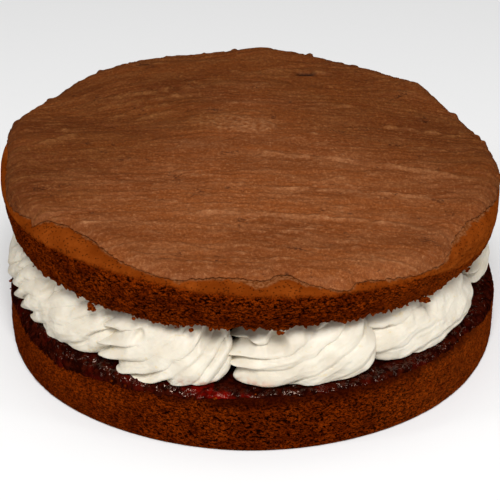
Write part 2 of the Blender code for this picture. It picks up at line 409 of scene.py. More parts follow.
def bake_top_sponge():
    angle = angles_round(SPONGE_SEGMENTS)
    waver = 0.30 * MM * np.sin(2 * angle + 1.7) + 0.25 * MM * np.sin(5 * angle + 0.4)
    line = crust_line(angle)
    join = np.minimum(line, shoulder_foot(angle))
    low = underside(angle)
    stations = [
        (0.00, 84.0 * MM, low + 0.6 * MM),
        (0.12, 93.8 * MM + waver, low + 0.1 * MM),
        (0.17, 95.4 * MM + waver, low + 0.4 * MM),
        (0.23, 96.6 * MM + waver, low + 2.6 * MM),
        (0.36, 98.4 * MM + 0.5 * waver, low + 0.50 * (join - low)),
        (0.50, CRUST_RADIUS - 0.4 * MM, join - 1.2 * MM),
        (0.53, CRUST_RADIUS - 0.1 * MM, join - 0.3 * MM),
    ]
    for share in np.linspace(0.56, 1.0, 16):
        radius, height, _, _ = skin(angle, travel_down_skin(angle, share))
        stations.append((share, radius, height))
    radius, points, normals = follow_profile(stations, TOP_RINGS, angle, rounding=2)
    z = points[..., 2]
    above = z - line + 0.7 * MM * layered(points, 3.0, 41)
    crust = ramp(-1.2 * MM, 0.7 * MM, above)
    pores = torn_crumb(points, 77) * (1 - crust)
    lumps = 0.40 * MM * layered(points, 12, 5) + 0.35 * MM * layered(points, 2.2, 8)
    smooth = 0.30 * MM * layered(points, 16, 6) + 0.06 * MM * layered(points, 2.0, 12)
    # the skin is scuffed on the right, where the side of the tin has dragged it
    scuffed = bump(angle, 56, 24) * ramp(8 * MM, 0.0, z - line - 3 * MM)
    along = xyz(angle * CAKE_RADIUS * 0.10, z, 0)
    drag = rolling(along, 1.5, 13) + 0.6 * rolling(along, 0.8, 14)
    smooth = smooth + 0.45 * MM * drag * scuffed
    push = (1 - crust) * (lumps - TOP_PORE_DEPTH * pores) + crust * (smooth + 0.12 * MM)
    points = points + normals * push[..., None]
    # the lower edge is ragged, with crumbs that hang down
    hang = ramp(4.0 * MM, 0.0, z - low) * ramp(90 * MM, 94.0 * MM, radius)
    tip = hang * ramp(low + 1.6 * MM, low - 0.2 * MM, z)
    ragged = 1.3 * layered(points * (1, 1, 0.2), 6.0, 51)
    upright = points * (1, 1, 0.3)
    teeth = 0.9 * np.abs(rolling(upright, 2.2, 52)) + 1.0 * rolling(upright, 1.2, 53)
    points[..., 2] += hang * (ragged - 1.2 * teeth + 0.4) * MM
    points = points + normals * (hang * 0.5 * MM * rolling(points, 1.5, 54))[..., None] * (1, 1, 0)
    # icing is smeared thinly on the skin, a little past the icing's own edge
    share = np.linspace(0, 1, TOP_RINGS)[:, None]
    past = travel_down_skin(angle, share) - through(angle, ICING_REACH_STOPS) * MM
    ragged_end = 1.5 * MM * layered(around(angle, CAKE_RADIUS, 0), 5, 85)
    ragged_end = ragged_end + 2.6 * MM * bump(angle, 4, 8) + 1.6 * MM * bump(angle, 58, 12)
    smear = ramp(0.9 * MM, 0.1 * MM, past - ragged_end + 0.6 * MM * rolling(points, 1.5, 86))
    smear = smear * (share > SKIN_FROM + 0.01)
    under_icing = (0, 0, TOP_HEIGHT + TOP_CROWN - 0.5 * MM)
    piece, laid = lay_rings("top_sponge_crumb", points, (0, 0, UNDERSIDE_MIDDLE), under_icing)
    scuff = np.clip(scuffed * (0.5 + 0.5 * drag), 0, 1) * crust
    paint(piece, laid, pore=pores, crust=crust, scuff=scuff, smear=smear, tip=tip)
    return piece


# ---------- jam

JAM_SEGMENTS = 1000
JAM_RINGS = 60
JAM_SHOULDER_START = 95.0 * MM
JAM_SHOULDER = (4.3 * MM, 5.0 * MM)
# how far the jam has run, out from the middle and down over the rim, in mm
JAM_RUN_STOPS = (
    (-72, 101.8), (-61, 104.6), (-52, 104.9), (-35, 101.0), (-17, 99.6), (2, 97.8), (50, 99.2),
    (58, 98.6), (76, 101.8), (100, 99.5), (160, 97.8), (190, 99.5), (220, 98.4), (250, 101.0),
)


def rim_of_base(angle, travel):
    """(radius, height, outward part, upward part of the normal) on the lower sponge's top and rim."""
    width, drop = JAM_SHOULDER
    width = width - worn_corner(angle)
    arc = 0.5 * (width + drop) * math.pi / 2
    turn = np.clip((travel - JAM_SHOULDER_START) / arc, 0, 1) * math.pi / 2
    below = np.maximum(travel - JAM_SHOULDER_START - arc, 0)
    flat = np.minimum(travel, JAM_SHOULDER_START)
    radius = flat + width * np.sin(turn)
    height = BASE_TOP - drop * (1 - np.cos(turn)) - below
    return radius, height, np.sin(turn), np.cos(turn)


def spread_jam():
    angle = angles_round(JAM_SEGMENTS)
    rim = around(angle, CAKE_RADIUS, 0)
    run = through(angle, JAM_RUN_STOPS) * MM
    run += 0.9 * MM * layered(rim, 7, 61) + 0.5 * MM * rolling(rim, 2.2, 62)
    full = (JAM_TOP - BASE_TOP) / MM
    # (share of the rings, mm back from the jam's edge, how many mm it stands off the sponge)
    section = (
        (0.00, 9.0, -0.5), (0.06, 1.2, -0.4), (0.12, 0.1, -0.1), (0.18, 0.0, 0.25), (0.26, 0.5, 0.6),
        (0.40, 1.8, 0.85), (0.60, 4.0, 1.2), (0.80, 8.0, 1.9), (0.88, 12.0, full), (1.00, 26.0, full),
    )
    stations = []
    for share, back, lift in section:
        radius, height, out, up = rim_of_base(angle, run - back * MM)
        stations.append((share, radius + out * lift * MM, height + up * lift * MM))
    _, points, normals = follow_profile(stations, JAM_RINGS, angle, rounding=2)
    free = ramp(0.12, 0.22, np.linspace(0, 1, JAM_RINGS))[:, None]
    lumps = 0.40 * layered(points, 6.0, 65) + 0.60 * layered(points, 2.4, 66)
    lumps = lumps + 0.25 * np.clip(rolling(points, 1.4, 67), 0, 1)
    points = points + normals * (lumps * MM * free)[..., None]
    points[..., 0] += BASE_SHIFT
    inner = points[-1, :, 2].mean()
    piece, laid = lay_rings("jam_spread", points, (0, 0, BASE_TOP - 0.3 * MM), (0, 0, inner))
    # only the run over the rim catches the light, and only the front of it is thin enough to glow red
    on_rim = ramp(JAM_TOP - 0.2 * MM, JAM_TOP - 1.8 * MM, points[..., 2])
    clear = 0.15 + 0.85 * bump(angle, -6, 11) + 0 * on_rim
    paint(piece, laid, rim=on_rim, clear=clear)
    return piece


# ---------- icing

ICING_CUTS = 300
ICING_THICKNESS = 2.5 * MM
PIT_DEPTH = 1.3 * MM
# how far the icing reaches from the middle of the top, out over the shoulder, in mm
ICING_REACH_STOPS = (
    (-84, 95.4), (-68, 99.8), (-58, 96.4), (-56, 97.4), (-54, 93.0), (-46.5, 90.0), (-40, 90.1),
    (-30, 93.8), (-15.5, 95.2), (-10, 92.5), (-3, 91.3), (2.8, 92.0), (7.6, 88.7), (12.4, 94.0),
    (20.9, 98.4), (23.4, 96.2), (44.6, 100.0), (52, 95.0), (60, 93.5), (78, 99.2), (95, 97.4),
    (119, 96.0), (178, 97.4), (190, 96.2), (250, 97.2), (262, 98.0),
)
# places where the icing's rim is thicker or thinner: degrees, width in degrees, height in mm
ICING_RIM_LUMPS = (
    (86, 6, 0.5), (112, 10, -0.5), (131, 5, 1.5), (177, 7, 0.9), (193, 8, -0.7), (224, 8, 0.4),
    (238, 6, -0.5), (258, 7, 0.9),
)
# under the rim, ring by ring: how far past the edge, and how far above the sponge, in mm
TUCK_TRAVEL = np.array((0.0, 0.35, 0.30, -0.25, -1.2, -4.0)) * MM
TUCK_LIFT = np.array((1.25, 0.85, 0.45, 0.15, -0.35, -0.5)) * MM
# raised strokes left by the knife, seen from above in mm: where each starts and ends, height, half width
KNIFE_STROKES = (
    (-2, 70.5, 20, 75.0, 0.9, 1.1), (18, 75.0, 38, 71.5, 0.8, 1.1), (46, 27.0, 93, 15.0, 1.0, 1.4),
    (25, 43.0, 46, 41.5, 0.5, 1.2), (0, -1.0, 96, -21.5, 1.1, 1.5), (0, -32.5, 80, -34.0, 0.8, 1.4),
    (-40, -52.0, 80, -57.0, 0.8, 1.4), (-86, -7.5, -66, 8.5, 0.9, 1.5), (-77, 8.0, -71, 14.0, 0.8, 1.4),
    (-71, 36.0, -16, 57.5, 0.9, 1.3), (-68, 29.0, -20, 50.0, 0.8, 1.2), (-62, 22.0, -28, 40.0, 0.7, 1.2),
    (-48, 22.0, -28, 33.0, 0.6, 1.1),
)
SLIT = (19, 71.6, 28.5, 72.4)  # a gap that the knife left open behind its stroke
PATCH = (-8.0, 21.5, 21.0, 8.0)  # a rough patch: its middle and half sizes in mm


def stroke_coordinates(x, y):
    """(along, across) the spreading strokes: they rise towards the back on the left, and level out."""
    left = np.minimum(x, 0.0)
    right = np.maximum(x, 0.0)
    rise = 0.03 * x - 4.6 * left**2 - 1.2 * right**2
    share = 0.06 + 0.94 * ramp(-45 * MM, 45 * MM, y)
    return x, y - share * rise


def along_line(x, y, line):
    """(how far off the line, share of the way along it) for a line of x0, y0, x1, y1 in mm."""
    x0, y0, x1, y1 = (value * MM for value in line)
    length = math.hypot(x1 - x0, y1 - y0)
    ux, uy = (x1 - x0) / length, (y1 - y0) / length
    share = ((x - x0) * ux + (y - y0) * uy) / length
    bow = 0.03 * length * (1 - (2 * share - 1) ** 2)
    return -(x - x0) * uy + (y - y0) * ux - bow, share


def knife_marks(x, y):
    """Relief of the single raised strokes in metres, and how pale they are, as a painted highlight on each
    crest.
    """
    relief = np.zeros_like(x)
    pale = np.zeros_like(x)
    place = xyz(x, y, 0)
    drift = 0.9 * MM * rolling(place, 12, 90)
    broken = ramp(-0.55, 0.15, rolling(place * (1, 2, 1), 7, 91))
    for *line, height, half_width in KNIFE_STROKES:
        off, share = along_line(x, y, line)
        off = (off + drift) / (half_width * MM)
        ends = ramp(-0.02, 0.25, share) * ramp(1.02, 0.75, share) * broken
        ridge = np.exp(-(off**2)) - 0.55 * np.exp(-((off - 1.7) ** 2))
        relief += height * MM * ends * ridge
        # painted highlight along the near side of each stroke's crest
        pale = np.maximum(pale, ends * np.exp(-((off + 0.35) ** 2)))
    return relief, pale


def terraced(phase):
    """Slow slopes that end in a sharp step down, as a spreading knife leaves them."""
    slope = phase - np.floor(phase)
    return slope * ramp(1.0, 0.86, slope) - 0.4


def icing_relief(x, y):
    """Height of the spreading strokes and lumps, in metres, how pale each place is, mostly as painted sheen
    on the crests, and how dark each place is.
    """
    along, across = stroke_coordinates(x, y)
    flat = xyz(x, y, 0.5)
    front = ramp(10 * MM, -45 * MM, y)
    across = across + rolling(xyz(along, across, 0), 11, 70) * 1.2 * MM
    broad = rolling(xyz(along / 5.0, across, 0.1), 10, 71)
    terrace = terraced(rolling(xyz(along / 7.0, across, 0.6), 9, 76) * 2.6)
    ridged = layered(xyz(along / 5.0, across, 0.2), 3.0, 72)
    lines = rolling(xyz(along / 7.0, across, 0.3), 1.5, 73)
    ripples = rolling(xyz(along / 3.0, across, 0.4), 2.2, 74)
    mottle = layered(flat, 2.4, 75)
    sharp = np.clip(ridged, 0, 1) ** 1.4
    relief = 0.40 * broad + 0.65 * terrace + 0.14 * ridged + 0.18 * sharp + 0.10 * lines
    relief = relief + (0.06 + 0.20 * front) * ripples + 0.12 * mottle
    patch_x, patch_y, half_x, half_y = PATCH
    reach = np.hypot((x / MM - patch_x) / half_x, (y / MM - patch_y + 0.12 * x / MM) / half_y)
    reach = reach + 0.35 * layered(flat, 7, 77)
    patch = ramp(1.05, 0.70, reach)
    rough = layered(flat, 2.0, 78)
    relief = relief * (1 - 0.7 * patch) + patch * (0.55 + 0.45 * rough)
    marks, painted_mark_highlight = knife_marks(x, y)
    # the pale share is mostly painted sheen on the crests of ridges, ripples, lines, terraces and strokes,
    # with the icing's own paler mottle and a paler rough patch
    pale = 0.45 * sharp + 0.25 * np.clip(ripples, 0, 1) * front + 0.3 * mottle + 0.3 * lines + 0.35 * terrace
    pale = np.clip(ramp(0.1, 1.1, pale) + 0.36 * painted_mark_highlight + patch * (0.28 + 0.6 * rough), 0, 1)
    # painted shade: the slit is painted nearly black for the shade down in it; the pits are the icing's own
    # small dark spots
    off, share = along_line(x, y, SLIT)
    slit = ramp(1.6 * MM, 0.7 * MM, np.abs(off + 0.3 * MM)) * ramp(-0.1, 0.35, share)
    slit = slit * ramp(1.1, 0.7, share)
    pits = ramp(0.12, 0.06, cells(flat, 8.5, 79)) * ramp(-0.1, 0.4, rolling(flat, 22, 80))
    dark = np.clip(slit + pits, 0, 1)
    return relief * MM + marks - PIT_DEPTH * dark, pale * (1 - dark), dark


def icing_shell(name):
    """A square grid whose edge is pulled down ring by ring and closed underneath."""
    clear_selection()
    bpy.ops.mesh.primitive_grid_add(x_subdivisions=ICING_CUTS, y_subdivisions=ICING_CUTS, size=2)
    piece = name_new(name)
    select_edges(piece, lambda edge: edge.is_boundary)
    for _ in TUCK_LIFT[1:]:
        bpy.ops.mesh.extrude_region_move(TRANSFORM_OT_translate={"value": (0, 0, -1)})
    bpy.ops.mesh.edge_face_add()
    bpy.ops.object.mode_set(mode="OBJECT")
    return piece


def rim_thickness(angle, inside):
    """The icing's thickness this far inside its edge, with the roll and the peaks along the edge."""
    rim = around(angle, CAKE_RADIUS, 0)
    thick = ICING_THICKNESS - 1.35 * MM * (1 - ramp(0.0, 5.0 * MM, inside))
    lumps = sum(h * MM * bump(angle, middle, width) for middle, width, h in ICING_RIM_LUMPS)
    thick = thick + ramp(22 * MM, 3 * MM, inside) * lumps
    roll = 0.55 * MM * np.exp(-(((inside - 2.2 * MM) / (1.1 * MM)) ** 2))
    roll = roll * (0.2 + 1.4 * layered(rim, 7, 83))
    # away from the front the spread rim has small peaks where the knife left it
    off_front = ramp(60, 85, np.abs(degrees_apart(angle, 0)))
    peaks = ramp(0.15, 0.75, rolling(rim, 5.0, 84)) * off_front
    roll = roll + 1.5 * MM * peaks * np.exp(-(((inside - 1.6 * MM) / (1.3 * MM)) ** 2))
    return thick + roll


def spread_icing():
    piece = icing_shell("chocolate_icing_spread")
    at = read_points(piece)
    a, b, level = at[:, 0], at[:, 1], np.rint(-at[:, 2]).astype(int)
    # the square grid is bent into a round one, which leaves no pole in the middle
    x, y = a * np.sqrt(1 - b * b / 2), b * np.sqrt(1 - a * a / 2)
    angle = np.arctan2(x, -y)
    share = np.minimum(np.hypot(x, y), 1.0)
    rim = around(angle, CAKE_RADIUS, 0)
    reach = through(angle, ICING_REACH_STOPS) * MM
    reach += 0.85 * MM * layered(rim, 4.5, 81) + 0.65 * MM * layered(rim, 1.8, 82)
    travel = share * reach + TUCK_TRAVEL[level]
    radius, height, out, up = skin(angle, travel)
    flat_x, flat_y = travel * np.sin(angle), -travel * np.cos(angle)
    relief, pale, dark = icing_relief(flat_x, flat_y)
    inside = reach - travel
    calm = 0.45 + 0.55 * ramp(0.0, 2.5 * MM, inside)
    lift = np.where(level == 0, rim_thickness(angle, inside) + relief * calm, TUCK_LIFT[level])
    move_points(piece, around(angle, radius + out * lift, height + up * lift))
    write_attribute(piece, "pale", pale)
    write_attribute(piece, "dark", dark)
    write_attribute(piece, "stroke", xyz(*stroke_coordinates(flat_x, flat_y), 0))
    return piece


# ---------- piped cream

# each rosette: its middle and half width in degrees round the cake, how far it stands out in mm and how
# much further at its left and right ends, then its ridges: how steeply they climb to the right, how far
# in mm they curl up at the right, how far apart they are in mm, and how far in mm their tips run out at
# the left and at the right
ROSETTES = (
    (-54.5, 22.4, -0.2, 4.4, 0.0, 0.46, 7, 6.2, 6.6, 0.5),
    (-19.8, 15.5, 0.0, 1.5, 0.0, 0.46, 21, 6.0, 8.5, 0.6),
    (13.4, 17.0, -1.0, 0.0, 3.2, 0.20, 16, 6.4, 4.5, 1.4),
    (47.8, 19.2, -1.0, 0.0, 2.8, 0.16, 4, 6.6, 1.5, 5.4),
    (95.5, 18.5, 0.4, 0.0, 0.0, 0.25, 18, 5.4, 4.0, 1.0),
    (127.0, 15.5, -0.4, 1.0, 0.0, 0.35, 10, 5.6, 4.0, 0.8),
    (158.5, 19.4, 0.4, 1.0, 0.0, 0.20, 22, 5.8, 3.6, 1.0),
    (194.5, 19.4, 0.0, 0.0, 2.0, 0.30, 14, 5.2, 4.4, 1.0),
    (230.5, 19.4, 0.3, 1.5, 0.0, 0.15, 24, 6.0, 3.8, 1.0),
    (266.8, 19.0, 1.6, 0.0, 2.5, 0.25, 8, 5.6, 4.4, 1.5),
)
FACE_RINGS, BACK_RINGS, ROSETTE_SEGMENTS = 110, 24, 300
RIM_RADIUS = 96.5 * MM
RIDGE_DEPTH = 4.2 * MM
HOLLOW_DEPTH = 6.5 * MM
CREAM_MIDDLE = 0.5 * (JAM_TOP + CREAM_TOP) - 0.4 * MM
CREAM_HALF_HEIGHT = 13.4 * MM
SQUARED = 3.0  # 2 would make a rosette's outline an ellipse, and more makes it squarer
# how far out the cream's face stands, by height
FACE_HEIGHTS = np.array((22.0, 30.0, 36.0, 42.0, 49.0)) * MM
FACE_RADII = np.array((98.6, 98.0, 97.0, 94.8, 91.0)) * MM


def jam_level(radius):
    return JAM_TOP - 0.3 * MM - 55 * np.maximum(radius - 91 * MM, 0) ** 2


def press_between_layers(u, h, w, middle_angle, stand_out):
    """From a rosette's own right, height and outward to the cake's frame, between jam and sponge."""
    angle = math.radians(middle_angle) + u / RIM_RADIUS
    reach = np.interp(h, FACE_HEIGHTS, FACE_RADII) + stand_out + w
    floor = jam_level(reach)
    ceiling = underside(angle) + 0.4 * MM
    soft = 1.2 * MM
    z = np.where(h < floor + soft, floor + soft - soft * np.tanh((floor + soft - h) / (2 * soft)), h)
    z = np.where(z > ceiling - soft, ceiling - soft + soft * np.tanh((z - ceiling + soft) / (2 * soft)), z)
    return around(angle, reach, z)


def reach_to_outline(beta, half_width):
    """How far it is from the middle to a rosette's rounded outline in each direction."""
    across = np.abs(np.cos(beta) / half_width) ** SQUARED
    upright = np.abs(np.sin(beta) / CREAM_HALF_HEIGHT) ** SQUARED
    return (across + upright) ** (-1 / SQUARED)


def ridges(u, h, half_width, climb, curl, spacing, seed):
    """The star nozzle's ridges on a rosette's face: how high each place stands on its ridge, 0 to 1, how
    strong that ridge is, the distance across the ridges and the direction in which they run."""
    share = np.clip((u + half_width) / (2 * half_width), 0, 1.1)
    path = climb * u + curl * MM * share**3
    lean = np.arctan(climb + 3 * curl * MM * share**2 / (2 * half_width))
    flat = xyz(u, h, seed * 7 * MM)
    waver = 3.2 * MM * rolling(flat, 17, seed) + 0.8 * MM * rolling(flat, 7, seed + 1)
    across = (h - path + waver) * (1 - 0.30 * share)
    uneven = rolling(xyz(0, across, seed * 5 * MM), 13, seed + 9)
    turn = across / (spacing * MM) + 0.37 * seed + 0.55 * uneven
    which = np.floor(turn).astype(int)
    luck = lattice_hash(xyz(which + 512, 0, seed), 5) % 1000 / 999.0
    crest = np.sin(math.pi * (turn - which) ** 0.7) ** 1.1
    return crest, luck, across, lean


def face_relief(u, h, out, beta, starting, ending, crest, luck, across, seed):
    """How far out each place on a rosette's face stands: ridges, lumps, hollows and rounded edges."""
    flat = xyz(u, h, seed * 7 * MM)
    strong = 0.17 + 0.88 * ramp(0.20, 0.9, out * starting) + 0.65 * out * ending
    worn = 0.55 + 0.45 * ramp(-0.4, 0.4, rolling(flat, 13, seed + 2))
    depth = RIDGE_DEPTH * (0.30 + 0.95 * luck) * strong * worn
    lumps = 1.1 * MM * layered(flat, 11, seed + 3) + 0.20 * MM * layered(flat, 2.4, seed + 4)
    drawn = 0.42 * MM * layered(xyz(u / 6, across, 0), 2.6, seed + 5)
    low, high = np.clip(-np.sin(beta), 0, 1), np.clip(np.sin(beta), 0, 1)
    edge = (8.0 - 5.0 * low**1.5 - 2.5 * high) * MM
    w = -edge * (1 - np.sqrt(1 - np.minimum(out, 0.9999) ** 3.0)) - depth * (1 - crest) + lumps + drawn
    # hollows along the top, where the cream doesn't fill the space under the sponge
    hollow = ramp(0.0, 0.5, rolling(xyz(u, 0.6 * h, 0), 9, seed + 6))
    return w - HOLLOW_DEPTH * hollow * ramp(0.0, 0.65, h / CREAM_HALF_HEIGHT)


def pipe_rosette(number, rosette, seed):
    """A rosette seen from the rim: ridges that start in tips on its left and curl up on its right."""
    middle_angle, half_degrees, stand_out, flare_left, flare_right, *piping, start_tip, end_tip = rosette
    half_width = math.radians(half_degrees) * RIM_RADIUS
    beta = math.pi / 2 + angles_round(ROSETTE_SEGMENTS)[None]
    # spread the columns evenly along the wide outline
    beta = np.arctan2(CREAM_HALF_HEIGHT * np.sin(beta), half_width * np.cos(beta) * 0.8)
    outline = reach_to_outline(beta, half_width)
    # share of the way out from the middle, from the outline in
    out = np.sin(np.linspace(math.pi / 2, 0.02, FACE_RINGS))[:, None]
    u = outline * out * np.cos(beta)
    h = outline * out * np.sin(beta)
    crest, luck, across, lean = ridges(u, h, half_width, *piping, seed)
    run = np.cos(beta) * np.cos(lean) + np.sin(beta) * np.sin(lean)
    starting = np.clip(-run, 0, 1) ** 0.7
    ending = np.clip(run, 0, 1)
    w = face_relief(u, h, out, beta, starting, ending, crest, luck, across, seed)
    w = w + flare_left * MM * ramp(0.1, 1.0, -u / half_width)
    w = w + flare_right * MM * ramp(0.1, 1.0, u / half_width)
    # the tips run out along the ridges, some further than others
    tips = (start_tip * starting * (0.35 + 1.0 * luck) - end_tip * ending * (0.5 + 0.8 * luck)) * MM
    tips = tips * (0.55 * crest**2 + 0.75 * crest**8 - 0.30) * ramp(0.55, 1.0, out)
    u, h = u - tips * np.cos(lean), h - tips * np.sin(lean)
    # behind the outline the rosette runs in towards the middle of the cake
    behind = np.linspace(1, 0, BACK_RINGS, endpoint=False)[:, None]
    back_u = u[:1] * (1 - 0.35 * behind**1.5)
    back_h = h[:1] * (1 - 0.25 * behind**2)
    back_w = w[:1] - 18 * MM * behind
    u, h, w = np.vstack([back_u, u]), np.vstack([back_h, h]), np.vstack([back_w, w])
    points = press_between_layers(u, CREAM_MIDDLE + h, w, middle_angle, stand_out * MM)
    name = f"cream_rosette_{number:02d}"
    piece, laid = lay_rings(name, points, points[0].mean(axis=0), points[-1].mean(axis=0))
    piping_run = np.zeros_like(points)
    piping_run[BACK_RINGS:] = xyz(u[BACK_RINGS:], across, 0)
    paint(piece, laid, piping=piping_run)
    return piece


# ---------- loose crumbs

# single larger crumbs that hang from the upper sponge: degrees round the cake, height and size in mm
HANGING_CRUMBS = (
    (-38.6, 48.0, 1.2), (-37.8, 47.0, 0.9), (-39.0, 46.2, 0.7), (-13.0, 48.4, 0.8), (6.2, 48.6, 0.9),
    (7.0, 48.3, 0.7), (42.0, 48.4, 1.1), (43.2, 47.6, 1.2), (44.2, 46.9, 0.8),
)
CRUMBS_UNDER_TOP = 34
CRUMBS_ON_JAM = 45


def crumb_places():
    """(angle, radius, height, size) of each crumb: some hang from the upper layer, some lie on the jam."""
    random = np.random.default_rng(41)
    places = [(math.radians(a), 95.6 * MM, z * MM, size * MM) for a, z, size in HANGING_CRUMBS]
    for _ in range(CRUMBS_UNDER_TOP):
        angle = random.uniform(0, 2 * math.pi)
        drop = random.uniform(-0.9, 0.3) * MM
        size = random.uniform(0.35, 0.75) * MM
        radius = random.uniform(94.6, 96.2) * MM
        places.append((angle, radius, float(underside(np.array(angle))) - drop, size))
    for _ in range(CRUMBS_ON_JAM):
        angle = random.uniform(0, 2 * math.pi)
        run = float(through(np.array(angle), JAM_RUN_STOPS)) * MM + random.uniform(-2.0, 2.0) * MM
        radius, height, out, up = rim_of_base(np.array(angle), np.array(run))
        size = random.uniform(0.3, 0.6) * MM
        places.append((angle, float(radius + out * 0.5 * MM), float(height + up * 0.5 * MM), size))
    return places


def scatter_crumbs():
    clear_selection()
    crumbs = []
    for angle, radius, height, size in crumb_places():
        at = (radius * math.sin(angle), -radius * math.cos(angle), height)
        fineness = 3 if size > 0.7 * MM else 2
        bpy.ops.mesh.primitive_ico_sphere_add(subdivisions=fineness, radius=size, location=at)
        crumbs.append(bpy.context.object)
    for crumb in crumbs:
        crumb.select_set(True)
    bpy.context.view_layer.objects.active = crumbs[0]
    bpy.ops.object.join()
    bpy.ops.object.transform_apply(location=True, rotation=True, scale=True)
    piece = name_new("loose_crumbs")
    at = read_points(piece)
    shake = np.stack([layered(at, 1.1, seed) for seed in (101, 102, 103)], -1)
    move_points(piece, at + 0.75 * MM * shake)
    return piece


# ---------- materials


def linear(*channels):
    """A colour given as 0 to 255 display values, as the shader wants it."""
    shares = [value / 255 for value in channels]
    return (*(v / 12.92 if v <= 0.04045 else ((v + 0.055) / 1.055) ** 2.4 for v in shares), 1.0)


class Finish:
    """A material with a Principled shader, and the few nodes that the finishes here are made of. Pattern
    sizes and relief depths are in mm."""

    def __init__(self, name):
        self.material = bpy.data.materials.new(name)
        self.material.use_nodes = True
        self.tree = self.material.node_tree
        self.shader = self.tree.nodes["Principled BSDF"]
        self.place = self.node("TexCoord", "Object", {})

    def put(self, node, name, value):
        """Links another node's output to an input, or sets a plain value on it."""
        if isinstance(value, bpy.types.NodeSocket):
            self.tree.links.new(value, node.inputs[name])
        else:
            node.inputs[name].default_value = value

    def node(self, kind, output, inputs, **settings):
        node = self.tree.nodes.new("ShaderNode" + kind)
        for name, value in settings.items():
            setattr(node, name, value)
        for name, value in inputs.items():
            self.put(node, name, value)
        return node.outputs[output]

    def shade(self, **inputs):
        for name, value in inputs.items():
            self.put(self.shader, name.replace("_", " "), value)
        return self.material

    def attribute(self, name, output="Fac"):
        return self.node("Attribute", output, {}, attribute_name=name)

    def axis(self, name):
        return self.node("SeparateXYZ", name, {0: self.place})

    def stretched(self, scale, along=None):
        """along names a vector attribute that a pattern follows in place of the object's own axes."""
        place = self.attribute(along, "Vector") if along else self.place
        return self.node("Mapping", "Vector", {"Vector": place, "Scale": scale})

    def noise(self, size, detail, roughness, stretch=(1, 1, 1), along=None):
        inputs = {"Scale": 1.0 / (size * MM), "Detail": detail, "Roughness": roughness}
        return self.node("TexNoise", "Fac", {"Vector": self.stretched(stretch, along), **inputs})

    def holes(self, size, stretch=(1, 1, 1)):
        inputs = {"Vector": self.stretched(stretch), "Scale": 1.0 / (size * MM)}
        return self.node("TexVoronoi", "Distance", inputs)

    def between(self, value, low, high, to_low=0.0, to_high=1.0):
        inputs = {"Value": value, "From Min": low, "From Max": high, "To Min": to_low, "To Max": to_high}
        return self.node("MapRange", "Result", inputs, interpolation_type="SMOOTHSTEP")

    def sums(self, operation, first, second=0.0):
        return self.node("Math", "Value", {0: first, 1: second}, operation=operation)

    def times(self, first, second):
        return self.sums("MULTIPLY", first, second)

    def plus(self, first, second):
        return self.sums("ADD", first, second)

    def mix(self, share, first, second, blend="MIX"):
        """Three numbers are a colour of 0 to 255, and four are plain factors."""
        inputs = {0: share, 6: first, 7: second}
        for side in (6, 7):
            if isinstance(inputs[side], tuple) and len(inputs[side]) == 3:
                inputs[side] = linear(*inputs[side])
        return self.node("Mix", 2, inputs, data_type="RGBA", blend_type=blend)

    def tones(self, pattern, low, high, first, second, most=1.0):
        """The first colour where the pattern is low, and up to most of the second where it is high."""
        return self.mix(self.between(pattern, low, high, 0.0, most), first, second)

    def bump(self, height, depth, below=None):
        inputs = {"Height": height, "Distance": depth * MM}
        if below is not None:
            inputs["Normal"] = below
        return self.node("Bump", "Normal", inputs)


def crumb_colour(look, rubbed_left):
    """Open chocolate crumb: orange brown on the ridges, nearly black in the pores as painted shade. The
    right side has been rubbed smooth and carries painted light that makes it paler, and the left side has
    been rubbed as far as rubbed_left says, 0 to 1."""
    mottle = look.noise(8, 4, 0.6)
    grain = look.noise(1.2, 4, 0.7, (1, 1, 1.8))
    ridge = look.tones(mottle, 0.35, 0.65, (92, 29, 1), (122, 45, 3))
    body = look.tones(grain, 0.38, 0.60, (48, 9, 0), ridge)
    small = look.holes(1.0, (1, 1, 1.7))
    pores = look.between(look.attribute("pore"), 0.15, 0.65)
    # painted shade: the large pores and the small holes are mixed to nearly black, for the shade down in
    # them
    deep = look.sums("MAXIMUM", pores, look.times(look.between(small, 0.44, 0.20), 0.75))
    x = look.axis("X")
    right = look.between(x, 32 * MM, 86 * MM)
    left = look.between(x, -30 * MM, -80 * MM, 0.0, rubbed_left)
    # painted light: the crumb is painted paler and greyer towards the right
    painted_light_right = look.mix(right, (1, 1, 1, 1), (1.6, 1.7, 1.9, 1))
    crumb = look.mix(1.0, look.mix(deep, body, (22, 3, 0)), painted_light_right, "MULTIPLY")
    worn = look.tones(look.noise(2.6, 4, 0.6), 0.35, 0.65, (80, 29, 4), (112, 49, 11))
    rubbed = look.times(look.sums("MAXIMUM", right, left), 0.55)
    relief = look.bump(grain, 0.6, look.bump(small, 0.4))
    return look.mix(rubbed, crumb, worn), relief


def bottom_sponge_finish():
    look = Finish("chocolate crumb, lower layer")
    body, relief = crumb_colour(look, 0.25)
    soaked = look.mix(look.times(look.attribute("soak"), 0.8), body, (32, 4, 1))
    return look.shade(Base_Color=soaked, Roughness=0.95, Specular_IOR_Level=0.0, Normal=relief)


